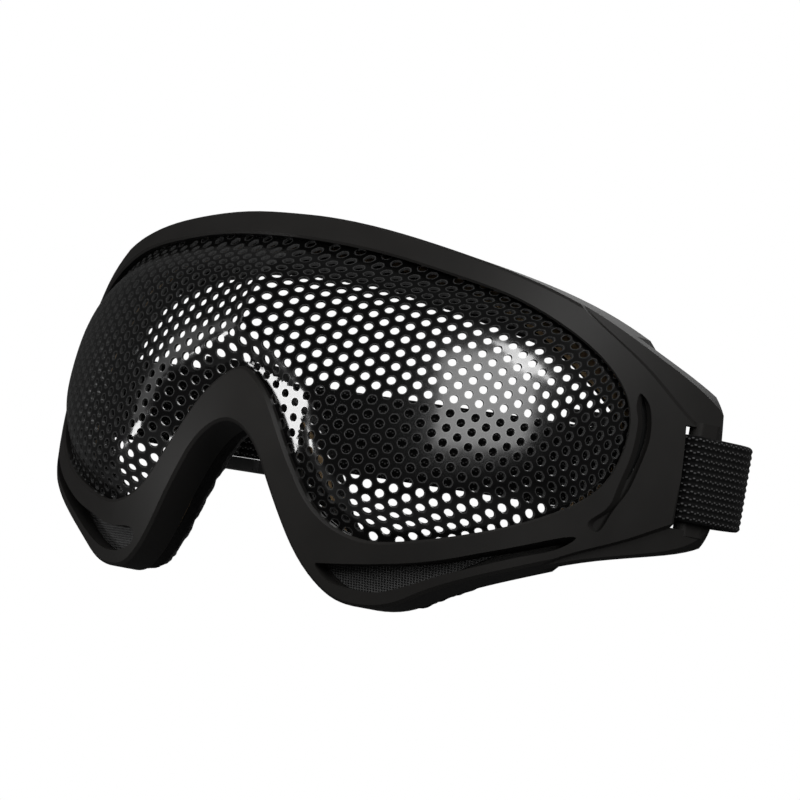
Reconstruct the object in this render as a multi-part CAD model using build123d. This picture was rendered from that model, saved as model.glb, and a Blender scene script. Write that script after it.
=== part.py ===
from build123d import *
import math
import os

# Perforated metal safety goggles with a soft moulded frame, foam face seal and elastic strap.
# Millimetres. X runs across the face, +Y from the nose ridge back to the wearer, +Z up.
# The origin is on the front face of the frame, where the lens opening peaks over the nose.

# front face of the frame: set back from the ridge across the width, and with height
wrap_half_width = 80.0
prow_depth = 13.5
bow_depth = 30.7
hook_depth = 21.1
ridge_round_share = 0.1
top_height = 39.2
top_setback = 19.3
bottom_drop = 47.9
bottom_setback = 3.4

# frame moulding
frame_half_width = 86.5
panel_thickness = 4.6
edge_bevel = 0.7
shroud_wall = 3.2
shroud_depth = 7.0
shroud_extra_top = 6.0
seat_half_width = 77.0
flange_depth = 1.5
flange_thickness = 3.0
seat_width = 8.0
seat_thickness = 2.0
sink = 0.4
crescent_depth = 1.6

# lens opening and the pressed mesh lens
opening_half_width = 73.2
opening_top = 33.2
opening_drop = 32.9
lens_thickness = 0.8
lens_overlap = 2.2
groove_depth = 2.4
lens_clearance = 0.35
lens_margin = 4.0
dome_rise = 8.0
dome_centre_x = 40.5
dome_centre_z = 0.0
dome_half_width = 31.0
dome_half_height = 27.5
dome_rim_share = 0.02
hole_pitch = 6.6
hole_width = 4.5
hole_margin = 1.6

# face seal: adhesive layer, foam and its fleece face
backing_thickness = 0.8
seal_gap = 0.05
backing_inset = 0.6
foam_thickness = 6.5
foam_width = 9.0
fleece_thickness = 2.0
fleece_inset = 1.2

# lower and upper vents with their filter screens
filter_thickness = 1.0
filter_border = 1.2
filter_clearance = 0.15

# ear slots and their posts
slot_centre_z = -5.5
slot_height = 24.0
slot_front_x = 82.0
slot_clearance = 0.8
slot_over_depth = 1.8
post_thickness = 4.0
post_length = 4.0
post_root = 1.2
ear_end_wall = 1.6

# elastic strap
strap_width = 20.0
strap_thickness = 1.5
strap_play = 0.9
strap_run_on = 5.0
strap_turn_radius = 10.5

# adjusters
slider_bar = 3.0
slider_pitch = 8.5
slider_rail = 3.0
slider_bevel = 1.0
slider_fit = 0.3
slider_position = 50.0

overrun = 10.0
far_reach = 30.0
depth_span = 160.0

# outlines of the front view, right half, as shares of the sizes in the comments
# silhouette: x of frame_half_width, z of top_height or bottom_drop
silhouette_shares = [
    (0.0, 1.0), (0.19, 0.985), (0.38, 0.925), (0.56, 0.84), (0.72, 0.71), (0.84, 0.545),
    (0.93, 0.39), (0.982, 0.24), (1.0, 0.05), (1.0, -0.18), (0.992, -0.35), (0.963, -0.44),
    (0.895, -0.52), (0.80, -0.60), (0.70, -0.70), (0.60, -0.80), (0.51, -0.90), (0.45, -0.97),
    (0.385, -1.0), (0.32, -0.985), (0.27, -0.92), (0.215, -0.79), (0.17, -0.635), (0.125, -0.47),
    (0.07, -0.31), (0.0, -0.24)]
# seal seat: x of seat_half_width, z of top_height or bottom_drop
seat_shares = [
    (0.0, 1.0), (0.21, 0.985), (0.42, 0.915), (0.61, 0.80), (0.77, 0.62), (0.90, 0.39),
    (0.98, 0.17), (1.0, -0.05), (0.975, -0.25), (0.915, -0.41), (0.83, -0.56), (0.745, -0.70),
    (0.65, -0.82), (0.572, -0.90), (0.505, -0.97), (0.432, -1.0),
    (0.36, -0.985), (0.303, -0.92), (0.241, -0.79), (0.19, -0.635), (0.14, -0.47),
    (0.079, -0.31), (0.0, -0.24)]
# temple wall line and the creases beside the ears: x of frame_half_width, z as above
temple_shares = [(0.62, 1.25), (0.70, 0.88), (0.785, 0.62), (0.86, 0.34), (0.887, -0.03),
                 (0.87, -0.27), (0.81, -0.46), (0.73, -0.66), (0.66, -1.0)]
upper_crease_shares = [(0.60, 1.1), (0.68, 0.76), (0.765, 0.60), (0.85, 0.43), (0.95, 0.165),
                       (1.15, -0.02)]
lower_crease_shares = [(1.15, -0.2), (0.95, -0.345), (0.88, -0.465), (0.80, -0.57), (0.68, -0.78),
                       (0.62, -1.15)]
panel_end_shares = [(0.948, 0.5), (0.948, 0.0), (0.948, -0.5)]
# lens opening: x of opening_half_width, z of opening_top or opening_drop
opening_shares = [
    (0.0, 1.0), (0.14, 0.995), (0.32, 0.965), (0.50, 0.90), (0.66, 0.825), (0.80, 0.69),
    (0.905, 0.52), (0.98, 0.28), (1.0, -0.07), (0.965, -0.385), (0.877, -0.61), (0.716, -0.83),
    (0.555, -0.963), (0.455, -1.0), (0.374, -0.955), (0.297, -0.825), (0.24, -0.64),
    (0.183, -0.42), (0.12, -0.18), (0.055, -0.02), (0.0, 0.04)]
# lower vent: x of frame_half_width, z of bottom_drop
vent_shares = [
    (0.278, -0.83), (0.36, -0.808), (0.45, -0.775), (0.55, -0.72), (0.64, -0.645), (0.73, -0.56),
    (0.80, -0.505), (0.785, -0.545), (0.72, -0.625), (0.63, -0.715), (0.55, -0.795),
    (0.475, -0.875), (0.40, -0.925), (0.335, -0.92), (0.29, -0.885)]
# crescent recess beside the lens: x of frame_half_width, z of bottom_drop
crescent_shares = [
    (0.852, 0.29), (0.866, 0.25), (0.878, 0.17), (0.886, 0.03), (0.882, -0.10), (0.870, -0.25),
    (0.850, -0.37), (0.826, -0.455), (0.818, -0.44), (0.836, -0.36), (0.853, -0.24),
    (0.862, -0.10), (0.863, 0.03), (0.857, 0.15), (0.848, 0.24)]

bow_curve = (top_setback / top_height + bottom_setback / bottom_drop) / (top_height + bottom_drop)
bow_slope = top_setback / top_height - bow_curve * top_height


def front_y(x, z):
    """Set-back of the frame's front face: a rounded prow in plan, bowed with height."""
    u = abs(x) / wrap_half_width
    ridge = math.hypot(u, ridge_round_share) - ridge_round_share
    plan = prow_depth * ridge + bow_depth * u ** 2 + hook_depth * u ** 4
    return plan + bow_slope * z + bow_curve * z ** 2


def face_point(x, z, inset=0.0):
    """A point of the front face, moved inwards along its own normal."""
    step = panel_thickness
    slope_x = (front_y(x + step, z) - front_y(x - step, z)) / (2 * step)
    slope_z = (front_y(x, z + step) - front_y(x, z - step)) / (2 * step)
    inward = Vector(-slope_x, 1, -slope_z).normalized()
    return Vector(x, front_y(x, z), z) + inward * inset


def front_surface(rows=13, columns=25, inset=0.0):
    """The front face as one smooth surface, wider and taller than the frame."""
    half = frame_half_width + overrun
    low = -bottom_drop - overrun
    high = top_height + overrun
    grid = [[face_point(half * (2 * i / (columns - 1) - 1),
                        low + (high - low) * j / (rows - 1), inset)
             for j in range(rows)] for i in range(columns)]
    return Face.make_surface_from_array_of_points(grid)


def seat_depth(z):
    """Depth from the front face to the face seal, shallower over the nose than at the brow."""
    share = (z + bottom_drop) / (top_height + bottom_drop)
    return panel_thickness + shroud_depth + shroud_extra_top * share


def seat_surface(extra=0.0, rows=11, columns=27):
    """The surface that carries the face seal, moved back by an extra amount."""
    half = frame_half_width + overrun
    low = -bottom_drop - overrun
    high = top_height + overrun
    grid = []
    for i in range(columns):
        x = half * (2 * i / (columns - 1) - 1)
        heights = [low + (high - low) * j / (rows - 1) for j in range(rows)]
        grid.append([Vector(x, front_y(x, z) + seat_depth(z) + extra, z) for z in heights])
    return Face.make_surface_from_array_of_points(grid)


def behind(surface, depth=depth_span):
    """All the space up to a depth behind a surface."""
    return Solid.extrude(surface, Vector(0, depth, 0))


def mirrored(shares, half, top, drop):
    """Right-half shares written as lengths and mirrored to a closed list of points."""
    right = [(sx * half, sz * (top if sz > 0 else drop)) for sx, sz in shares]
    left = [(-x, z) for x, z in reversed(right) if x > 0]
    return right + left


def closed_curve(points, inset=0.0, samples=36):
    """A smooth closed curve through points of the front view, moved inwards by an inset."""
    curve = Spline(*points, periodic=True)
    if inset == 0:
        return curve
    turn = Vector(0, 0, 1)
    moved = []
    for i in range(samples):
        spot = curve @ (i / samples)
        along = curve % (i / samples)
        side = along.cross(turn).normalized()
        moved.append(spot + side * inset)
    return Spline(*moved, periodic=True)


def prism(curve, pieces=12):
    """A front-view outline carried straight back through the whole depth."""
    arcs = [curve.trim(i / pieces, (i + 1) / pieces) for i in range(pieces)]
    face = Plane.XZ * Face(Wire(arcs))
    return Solid.extrude(face.moved(Location((0, -far_reach, 0))), Vector(0, depth_span, 0))


def front_outline(name, inset=0.0):
    """One of the closed outlines of the front view, as a prism through the depth."""
    tables = {
        "silhouette": (silhouette_shares, frame_half_width, top_height, bottom_drop),
        "seat": (seat_shares, seat_half_width, top_height, bottom_drop),
        "opening": (opening_shares, opening_half_width, opening_top, opening_drop)}
    return prism(closed_curve(mirrored(*tables[name]), inset))


def side_outline(shares, side, half, top, drop, growth=0.0):
    """A small closed outline that lies on one side of the goggles only."""
    points = [(side * sx * half, sz * (top if sz > 0 else drop)) for sx, sz in shares]
    if side < 0:
        points = points[::-1]
    return prism(closed_curve(points, -growth), pieces=6)


def vent_hole(side, growth=0.0):
    return side_outline(vent_shares, side, frame_half_width, top_height, bottom_drop, growth)


def side_polygon(shares, side):
    """The space beyond a smooth line of the front view, out past the ear."""
    points = [(side * sx * frame_half_width, sz * (top_height if sz > 0 else bottom_drop))
              for sx, sz in shares]
    far = side * (frame_half_width + overrun)
    first = points[0]
    last = points[-1]
    edges = [Spline(*points), Line(last, (far, last[1])),
             Line((far, last[1]), (far, first[1])), Line((far, first[1]), first)]
    face = Plane.XZ * Face(Wire(edges))
    start = face.moved(Location((0, -far_reach, 0)))
    return Solid.extrude(start, Vector(0, depth_span, 0))


def crescent(side):
    return side_outline(crescent_shares, side, frame_half_width, top_height, bottom_drop)


def ear_frame(side):
    """Ear axes in plan: the slot's front corner, the way back along the ear, and outwards."""
    corner = face_point(slot_front_x, slot_centre_z)
    ahead = face_point(slot_front_x - post_length / 2, slot_centre_z)
    behind_it = face_point(slot_front_x + post_length / 2, slot_centre_z)
    along = Vector(behind_it.X - ahead.X, behind_it.Y - ahead.Y, 0).normalized()
    outward = Vector(along.Y, -along.X, 0)
    if side < 0:
        corner = Vector(-corner.X, corner.Y, corner.Z)
        along = Vector(-along.X, along.Y, 0)
        outward = Vector(-outward.X, outward.Y, 0)
    return corner, along, outward


def loop_radius():
    return post_thickness / 2 + strap_play + strap_thickness / 2


def post_front(side):
    """Centre of the post's front rounding: the strap's loop just clears the slot's corner."""
    corner, along, outward = ear_frame(side)
    back = slot_clearance + strap_thickness / 2 + loop_radius()
    return corner + along * back - outward * (flange_depth + flange_thickness / 2)


def post(side):
    """The upright bar that the strap turns round, rounded front and back."""
    corner, along, outward = ear_frame(side)
    start = post_front(side)
    end = start + along * post_length
    start = Vector(start.X, start.Y, slot_centre_z - slot_height / 2 - post_root)
    end = Vector(end.X, end.Y, start.Z)
    height = slot_height + 2 * post_root
    across = outward * (post_thickness / 2)
    web = Face(Wire.make_polygon([start + across, end + across, end - across, start - across]))
    bar = Solid.extrude(web, Vector(0, 0, height))
    for end_point in (start, end):
        bar += Solid.make_cylinder(post_thickness / 2, height, Plane(end_point))
    return bar


def ear_block(side, length, shallow, deep):
    """A block from the slot's front corner back along the ear, between two depths."""
    corner, along, outward = ear_frame(side)
    block = Solid.make_box(length, deep - shallow, slot_height)
    block = block.moved(Location((0, shallow if side > 0 else -deep, -slot_height / 2)))
    plane = Plane(origin=Vector(corner.X, corner.Y, slot_centre_z), x_dir=along,
                  z_dir=Vector(0, 0, 1))
    return plane.from_local_coords(block)


def ear_slot(side):
    """The slot before the post, and the channel behind the ear that the inner run lies in."""
    length = slot_clearance + strap_thickness / 2 + loop_radius()
    back = flange_depth + flange_thickness
    slot = ear_block(side, length, -overrun, back + slot_over_depth)
    return slot + ear_block(side, far_reach, back + sink, back + slot_over_depth)


def ear_end(side):
    """The space past the ear's square-cut end, behind the post."""
    corner, along, outward = ear_frame(side)
    start = post_front(side) + along * (post_length + post_thickness / 2 + ear_end_wall)
    block = Solid.make_box(far_reach, far_reach, top_height + bottom_drop)
    block = block.moved(Location((0, -far_reach / 2, -bottom_drop)))
    plane = Plane(origin=Vector(start.X, start.Y, 0), x_dir=along, z_dir=Vector(0, 0, 1))
    return plane.from_local_coords(block)


def band(start, end):
    """The space between two depths below the front face."""
    return behind(front_surface(inset=start)) - behind(front_surface(inset=end))


def make_frame():
    """The one-piece soft moulding: front panel, lens groove, shroud, seal seat and ears."""
    body = behind(front_surface()) & front_outline("silhouette")
    body -= front_outline("opening")
    front = body.faces().sort_by(Axis.Y)[0]
    body = body.chamfer(edge_bevel, None, front.edges())
    body -= behind(seat_surface())
    groove = front_outline("opening", -(lens_overlap + lens_clearance))
    groove &= band(groove_depth, groove_depth + lens_thickness + 2 * lens_clearance)
    body -= groove
    body -= front_outline("seat", seat_width) & behind(front_surface(inset=panel_thickness))
    cavity = front_outline("seat", shroud_wall) & behind(front_surface(inset=panel_thickness))
    cavity -= behind(seat_surface(-seat_thickness))
    body -= cavity
    flange_back = behind(front_surface(inset=flange_depth + flange_thickness))
    for side in (1, -1):
        body -= side_polygon(temple_shares, side) & flange_back
        for line in (upper_crease_shares, lower_crease_shares, panel_end_shares):
            body -= side_polygon(line, side) - behind(front_surface(inset=flange_depth))
        body -= vent_hole(side) & band(-sink, panel_thickness + sink)
        body -= crescent(side) - behind(front_surface(inset=crescent_depth))
        body -= ear_slot(side)
        body -= ear_end(side)
        body += post(side)
    return body


def dome(x, z):
    """Rise of the lens over one eye: nearly flat in the middle, steep at the rim."""
    across = (abs(x) - dome_centre_x) / dome_half_width
    up = (z - dome_centre_z) / dome_half_height
    return dome_rise * dome_rim_share ** (across ** 2 + up ** 2) ** 2


def lens_surface(rows=15, columns=31):
    """The lens's front: the frame's own curve at groove depth, with a dome over each eye."""
    half = opening_half_width + lens_margin
    low = -opening_drop - lens_margin
    high = opening_top + lens_margin
    grid = []
    for i in range(columns):
        x = half * (2 * i / (columns - 1) - 1)
        heights = [low + (high - low) * j / (rows - 1) for j in range(rows)]
        grid.append([face_point(x, z, groove_depth + lens_clearance) - Vector(0, dome(x, z), 0)
                     for z in heights])
    return Face.make_surface_from_array_of_points(grid)


def inside(point, polygon):
    """Whether a point lies inside a polygon, by counting crossings."""
    x, z = point
    crossings = 0
    for a, b in zip(polygon, polygon[1:] + polygon[:1]):
        if (a[1] > z) != (b[1] > z) and x < a[0] + (z - a[1]) * (b[0] - a[0]) / (b[1] - a[1]):
            crossings += 1
    return crossings % 2 == 1


def hole_centres():
    """Staggered rows of holes, one upright row every pitch times the cosine of 30 degrees."""
    points = mirrored(opening_shares, opening_half_width, opening_top, opening_drop)
    rim = closed_curve(points, hole_width / 2 + hole_margin)
    polygon = [((rim @ (i / 90)).X, (rim @ (i / 90)).Y) for i in range(90)]
    row_step = hole_pitch * math.cos(math.radians(30))
    centres = []
    for i in range(-int(opening_half_width / row_step), int(opening_half_width / row_step) + 1):
        for j in range(-int(opening_drop / hole_pitch), int(opening_top / hole_pitch) + 1):
            centre = (i * row_step, (j + (i % 2) / 2) * hole_pitch)
            if inside(centre, polygon):
                centres.append(centre)
    return centres


def lens_sheet(centres):
    """The front view of the sheet, with a six-sided hole round each centre, carried back."""
    points = mirrored(opening_shares, opening_half_width, opening_top, opening_drop)
    rim = closed_curve(points, -lens_overlap)
    arcs = [rim.trim(i / 12, (i + 1) / 12) for i in range(12)]
    radius = hole_width / 2 / math.cos(math.radians(30))
    corners = [(radius * math.cos(math.radians(60 * k)), radius * math.sin(math.radians(60 * k)))
               for k in range(6)]
    holes = [Wire.make_polygon([(x + cx, z + cz) for cx, cz in corners]) for x, z in centres]
    sheet = Plane.XZ * Face(Wire(arcs), holes)
    return Solid.extrude(sheet.moved(Location((0, -far_reach, 0))), Vector(0, depth_span, 0))


def make_lens():
    """The pressed sheet: its domed front face, holed, given the sheet's thickness."""
    face = (lens_surface() & lens_sheet(hole_centres())).faces()[0]
    return Solid.extrude(face, Vector(0, lens_thickness, 0))


def seal_ring(outer, inner, start, thickness):
    """One layer of the face seal, following the frame's seat."""
    ring = front_outline("seat", outer) - front_outline("seat", inner)
    return ring & Solid.extrude(seat_surface(seal_gap + start), Vector(0, thickness, 0))


def make_backing():
    return seal_ring(backing_inset, seat_width, 0, backing_thickness)


def make_foam():
    return seal_ring(backing_inset, foam_width, backing_thickness, foam_thickness)


def make_fleece():
    start = backing_thickness + foam_thickness
    outer = backing_inset + fleece_inset
    return seal_ring(outer, foam_width - fleece_inset, start, fleece_thickness)


def make_lower_filter(side):
    """A screen behind the lower vent, clear of the shroud's wall and the lens."""
    screen = vent_hole(side, filter_border) & front_outline("seat", shroud_wall + filter_clearance)
    start = face_layer_start()
    slab = Solid.extrude(front_surface(inset=start), Vector(0, filter_thickness, 0))
    return screen & slab


def face_layer_start():
    return panel_thickness + filter_clearance


def strap_path_points(side):
    """Key points of the strap in plan on one side."""
    corner, along, outward = ear_frame(side)
    front = post_front(side)
    rear = front + along * (post_length + strap_run_on)
    centre = rear + outward * (loop_radius() - strap_turn_radius)
    return front, rear, centre, along, outward


def beside(edge, distance):
    """An edge of a flat path moved sideways: a line stays a line and an arc stays round."""
    spots = []
    for share in (0, 0.5, 1):
        left = Vector(0, 0, 1).cross(edge % share).normalized()
        spots.append(edge @ share + left * distance)
    if edge.geom_type == GeomType.LINE:
        return Line(spots[0], spots[2])
    return ThreePointArc(*spots)


def ribbon(edges, thickness, width, centre_z):
    """A flat strip standing on edge: its plan path given a thickness and a height."""
    left = [beside(edge, thickness / 2) for edge in edges]
    right = [beside(edge, -thickness / 2) for edge in edges]
    ends = [Line(left[0] @ 0, right[0] @ 0), Line(left[-1] @ 1, right[-1] @ 1)]
    strip = Solid.extrude(Face(Wire(left + right + ends)), Vector(0, 0, width))
    return strip.moved(Location((0, 0, centre_z - width / 2)))


def flat(point):
    return Vector(point.X, point.Y, 0)


def strap_side(side):
    """Edges of the band from the back run, over the fold, round the post and inside again."""
    front, rear, centre, along, outward = strap_path_points(side)
    reach = loop_radius()
    back = Vector(0, 1, 0)
    diagonal = (outward + back).normalized()
    inner_radius = strap_turn_radius - 2 * reach
    fold = [flat(centre) + way * strap_turn_radius for way in (back, diagonal, outward)]
    front_out = flat(front) + outward * reach
    front_mid = flat(front) - along * reach
    front_in = flat(front) - outward * reach
    inner = [flat(centre) + way * inner_radius for way in (outward, diagonal, back)]
    return [ThreePointArc(*fold), Line(fold[2], front_out),
            ThreePointArc(front_out, front_mid, front_in), Line(front_in, inner[0]),
            ThreePointArc(*inner)]


def backwards(edges):
    """The same path run from its end to its start."""
    turned = []
    for edge in edges[::-1]:
        if edge.geom_type == GeomType.LINE:
            turned.append(Line(edge @ 1, edge @ 0))
        else:
            turned.append(ThreePointArc(edge @ 1, edge @ 0.5, edge @ 0))
    return turned


def make_strap():
    """The woven band: round both posts and straight across behind the head side."""
    right = strap_side(1)
    left = strap_side(-1)
    across = Line(left[0] @ 0, right[0] @ 0)
    edges = backwards(left) + [across] + right
    return ribbon(edges, strap_thickness, strap_width, slot_centre_z)


def bar_centre(side):
    """Axis of the adjuster's middle bar, which the sewn end of the strap turns round."""
    front, rear, centre, along, outward = strap_path_points(side)
    inner_y = centre.Y + strap_turn_radius - 2 * loop_radius()
    y = inner_y + slider_bar / 2 + slider_fit + strap_thickness / 2
    return Vector(side * slider_position, y, slot_centre_z)


def make_return(side):
    """The band's end: from the inside of the fold to its loop round the adjuster's bar."""
    front, rear, centre, along, outward = strap_path_points(side)
    reach = slider_bar / 2 + slider_fit + strap_thickness / 2
    bar = flat(bar_centre(side))
    back = Vector(0, 1, 0)
    start = flat(centre) + back * (strap_turn_radius - 2 * loop_radius())
    turn = bar - back * reach
    round_end = bar + back * reach
    toward = Vector(-side, 0, 0)
    edges = [Line(start, turn), ThreePointArc(turn, bar + toward * reach, round_end),
             Line(round_end, round_end - toward * slider_pitch)]
    return ribbon(edges, strap_thickness, strap_width, slot_centre_z)


def make_slider(side):
    """A ladder adjuster: middle bar inside the band, two side bars outside, two rails."""
    bar = bar_centre(side)
    front, rear, centre, along, outward = strap_path_points(side)
    band_y = centre.Y + strap_turn_radius
    height = strap_width + 2 * (slider_fit + slider_rail)
    outer_y = band_y + strap_thickness / 2 + slider_fit + slider_bar / 2
    base = Vector(0, 0, slot_centre_z - height / 2)
    body = Solid.make_cylinder(slider_bar / 2, height, Plane(flat(bar) + base))
    for offset in (-slider_pitch, slider_pitch):
        spot = Vector(bar.X + offset, outer_y, 0)
        body += Solid.make_cylinder(slider_bar / 2, height, Plane(spot + base))
    length = 2 * slider_pitch + slider_bar
    depth = outer_y - bar.Y + slider_bar
    for end in (-1, 1):
        rail = Solid.make_box(length, depth, slider_rail)
        low = slot_centre_z + end * (strap_width / 2 + slider_fit + slider_rail / 2)
        spot = Vector(bar.X - length / 2, bar.Y - slider_bar / 2, low - slider_rail / 2)
        rail = rail.moved(Location(spot))
        rail = rail.chamfer(slider_bevel, None, rail.edges().filter_by(Axis.Z))
        body += rail
    return body


def make_all():
    """Every node by name."""
    return {
        "slider_right": make_slider(1),
        "slider_left": make_slider(-1),
        "strap_return_right": make_return(1),
        "strap_return_left": make_return(-1),
        "strap_band": make_strap(),
        "seal_backing": make_backing(),
        "seal_foam": make_foam(),
        "seal_fleece": make_fleece(),
        "lower_filter_right": make_lower_filter(1),
        "lower_filter_left": make_lower_filter(-1),
        "mesh_lens": make_lens(),
        "goggle_frame": make_frame()}


os.makedirs("parts", exist_ok=True)
for name, solid in make_all().items():
    export_step(solid, "parts/" + name + ".step")
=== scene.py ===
# %% [markdown]
# # Mesh safety goggles
# The goggles are a soft moulded frame round a pressed sheet of perforated metal, with a foam seal
# behind it and an elastic strap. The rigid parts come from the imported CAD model, which this script
# never moves. It adds the finish of each surface, and it models the parts that a solid can only
# hint at: the sheet with all its holes, the foam and fleece of the seal, and the woven strap.

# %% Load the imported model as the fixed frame
import math

import bmesh
import bpy
import numpy as np
from mathutils import Matrix, Vector


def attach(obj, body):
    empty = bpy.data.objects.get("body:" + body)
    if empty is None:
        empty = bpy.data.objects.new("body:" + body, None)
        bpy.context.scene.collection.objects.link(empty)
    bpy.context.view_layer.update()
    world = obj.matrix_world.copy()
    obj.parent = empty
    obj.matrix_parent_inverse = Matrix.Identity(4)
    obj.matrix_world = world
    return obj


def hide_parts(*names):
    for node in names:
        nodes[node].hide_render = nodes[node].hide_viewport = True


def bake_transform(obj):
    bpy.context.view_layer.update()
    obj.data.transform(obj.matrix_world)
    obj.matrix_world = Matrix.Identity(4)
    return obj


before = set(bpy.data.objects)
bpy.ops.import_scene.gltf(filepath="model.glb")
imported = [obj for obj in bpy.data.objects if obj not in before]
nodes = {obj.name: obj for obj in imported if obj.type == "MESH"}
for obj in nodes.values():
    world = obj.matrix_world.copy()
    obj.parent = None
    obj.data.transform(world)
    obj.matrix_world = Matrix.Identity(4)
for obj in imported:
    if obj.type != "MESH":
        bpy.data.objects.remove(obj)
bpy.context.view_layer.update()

print("nodes:", sorted(nodes))

# %% [markdown]
# Every length below is in metres. The front of the frame is one curved face: set back from the
# nose ridge across the width, and bowed with height. The same formula places the lens and the
# seal, so that they fit the CAD pieces.

# %% The shape of the frame's front face
MM = 0.001
WRAP_HALF = 80.0 * MM
PROW, BOW, HOOK = 13.5 * MM, 30.7 * MM, 21.1 * MM
PROW_ROUND_SHARE = 0.1
TOP, DROP = 39.2 * MM, 47.9 * MM
TOP_BACK, DROP_BACK = 19.3 * MM, 3.4 * MM
CURVE = (TOP_BACK / TOP + DROP_BACK / DROP) / (TOP + DROP)
SLOPE = TOP_BACK / TOP - CURVE * TOP


def front_y(x, z):
    """Set-back of the front face: a rounded prow plus a square and a fourth power of the
    distance from the middle, plus a line and a square of the height."""
    u = np.abs(x) / WRAP_HALF
    ridge = np.hypot(u, PROW_ROUND_SHARE) - PROW_ROUND_SHARE
    return PROW * ridge + BOW * u ** 2 + HOOK * u ** 4 + SLOPE * z + CURVE * z ** 2


print("set-back of the front face at the ear:", front_y(WRAP_HALF, 0.0))

# %% [markdown]
# The opening for the lens and the seat of the seal are smooth closed curves through a few points
# of the front view. A periodic cubic spline gives the same curve as the CAD model: each piece
# between two points is a cubic, and slope and bend carry on from one piece to the next. The points
# are shares of the half width and of the height above or below the nose.

# %% Smooth closed outlines
OPENING_HALF, OPENING_TOP, OPENING_DROP = 73.2 * MM, 33.2 * MM, 32.9 * MM
OPENING_SHARES = [
    (0.0, 1.0), (0.14, 0.995), (0.32, 0.965), (0.50, 0.90), (0.66, 0.825), (0.80, 0.69),
    (0.905, 0.52), (0.98, 0.28), (1.0, -0.07), (0.965, -0.385), (0.877, -0.61), (0.716, -0.83),
    (0.555, -0.963), (0.455, -1.0), (0.374, -0.955), (0.297, -0.825), (0.24, -0.64),
    (0.183, -0.42), (0.12, -0.18), (0.055, -0.02), (0.0, 0.04)]
SEAT_HALF = 77.0 * MM
SEAT_SHARES = [
    (0.0, 1.0), (0.21, 0.985), (0.42, 0.915), (0.61, 0.80), (0.77, 0.62), (0.90, 0.39),
    (0.98, 0.17), (1.0, -0.05), (0.975, -0.25), (0.915, -0.41), (0.83, -0.56), (0.745, -0.70),
    (0.65, -0.82), (0.572, -0.90), (0.505, -0.97), (0.432, -1.0), (0.36, -0.985),
    (0.303, -0.92), (0.241, -0.79), (0.19, -0.635), (0.14, -0.47), (0.079, -0.31), (0.0, -0.24)]
OPENING_SAMPLES, SEAT_SAMPLES = 720, 900


def mirrored(shares, half, top, drop):
    """Shares of the right half written as lengths, and mirrored to close the ring."""
    right = [(sx * half, sz * (top if sz > 0 else drop)) for sx, sz in shares]
    return np.array(right + [(-x, z) for x, z in reversed(right) if x > 0])


def ring_curve(points, samples):
    """A periodic cubic spline: the bends at the points solve the equations that make the
    slopes meet, with the chord lengths as the spacing. Returns points and outward normals."""
    after = np.roll(points, -1, 0)
    chord = np.linalg.norm(after - points, axis=1)
    chord_before = np.roll(chord, 1)
    count = len(points)
    rows = np.arange(count)
    system = np.zeros((count, count))
    system[rows, (rows - 1) % count] = chord_before
    system[rows, rows] = 2 * (chord + chord_before)
    system[rows, (rows + 1) % count] = chord
    rise = (after - points) / chord[:, None]
    bends = np.linalg.solve(system, 6 * (rise - np.roll(rise, 1, 0)))

    knots = np.concatenate([[0], np.cumsum(chord)])
    run = np.linspace(0, knots[-1], samples, endpoint=False)
    piece = np.clip(np.searchsorted(knots, run, side="right") - 1, 0, count - 1)
    ahead = (knots[piece + 1] - run)[:, None]
    behind = (run - knots[piece])[:, None]
    span = chord[piece][:, None]
    first, last = bends[piece], np.roll(bends, -1, 0)[piece]
    spot = (first * ahead ** 3 + last * behind ** 3) / (6 * span)
    spot += ((points[piece] / span - first * span / 6) * ahead
             + (after[piece] / span - last * span / 6) * behind)
    along = np.roll(spot, -1, 0) - np.roll(spot, 1, 0)
    along /= np.linalg.norm(along, axis=1, keepdims=True)
    return spot, np.stack([-along[:, 1], along[:, 0]], 1)


opening_curve, opening_out = ring_curve(
    mirrored(OPENING_SHARES, OPENING_HALF, OPENING_TOP, OPENING_DROP), OPENING_SAMPLES)
seat_curve, seat_out = ring_curve(mirrored(SEAT_SHARES, SEAT_HALF, TOP, DROP), SEAT_SAMPLES)
print("opening spans", np.ptp(opening_curve, 0), "outward at the top", opening_out[0])

# %% [markdown]
# A few small helpers are used by every new piece: they put arrays of corners and faces into a
# mesh, join a grid of corners by faces, measure the length along a row of points, and measure how
# far points of the front view lie inside a closed outline.

# %% Mesh and distance helpers
TINY = 1e-12


def put_mesh(name, corners, faces):
    """A smooth mesh object from an array of corners and a list of faces."""
    mesh = bpy.data.meshes.new(name)
    mesh.from_pydata(np.asarray(corners).tolist(), [], faces)
    mesh.polygons.foreach_set("use_smooth", np.ones(len(mesh.polygons), bool))
    mesh.validate()
    mesh.update()
    thing = bpy.data.objects.new(name, mesh)
    bpy.context.scene.collection.objects.link(thing)
    return thing


def grid_faces(rows, columns, wrap_rows=False):
    """Four-sided faces that join a grid of corners, closed round the columns and, if asked,
    round the rows."""
    index = np.arange(rows * columns).reshape(rows, columns)
    if wrap_rows:
        index = np.vstack([index, index[:1]])
    index = np.hstack([index, index[:, :1]])
    quads = np.stack([index[:-1, :-1], index[:-1, 1:], index[1:, 1:], index[1:, :-1]], -1)
    return quads.reshape(-1, 4)


def lengths_along(line):
    """Length along a row of points, from the first point to each of them."""
    steps = np.linalg.norm(np.diff(line, axis=0), axis=1)
    return np.concatenate([[0], np.cumsum(steps)])


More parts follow.
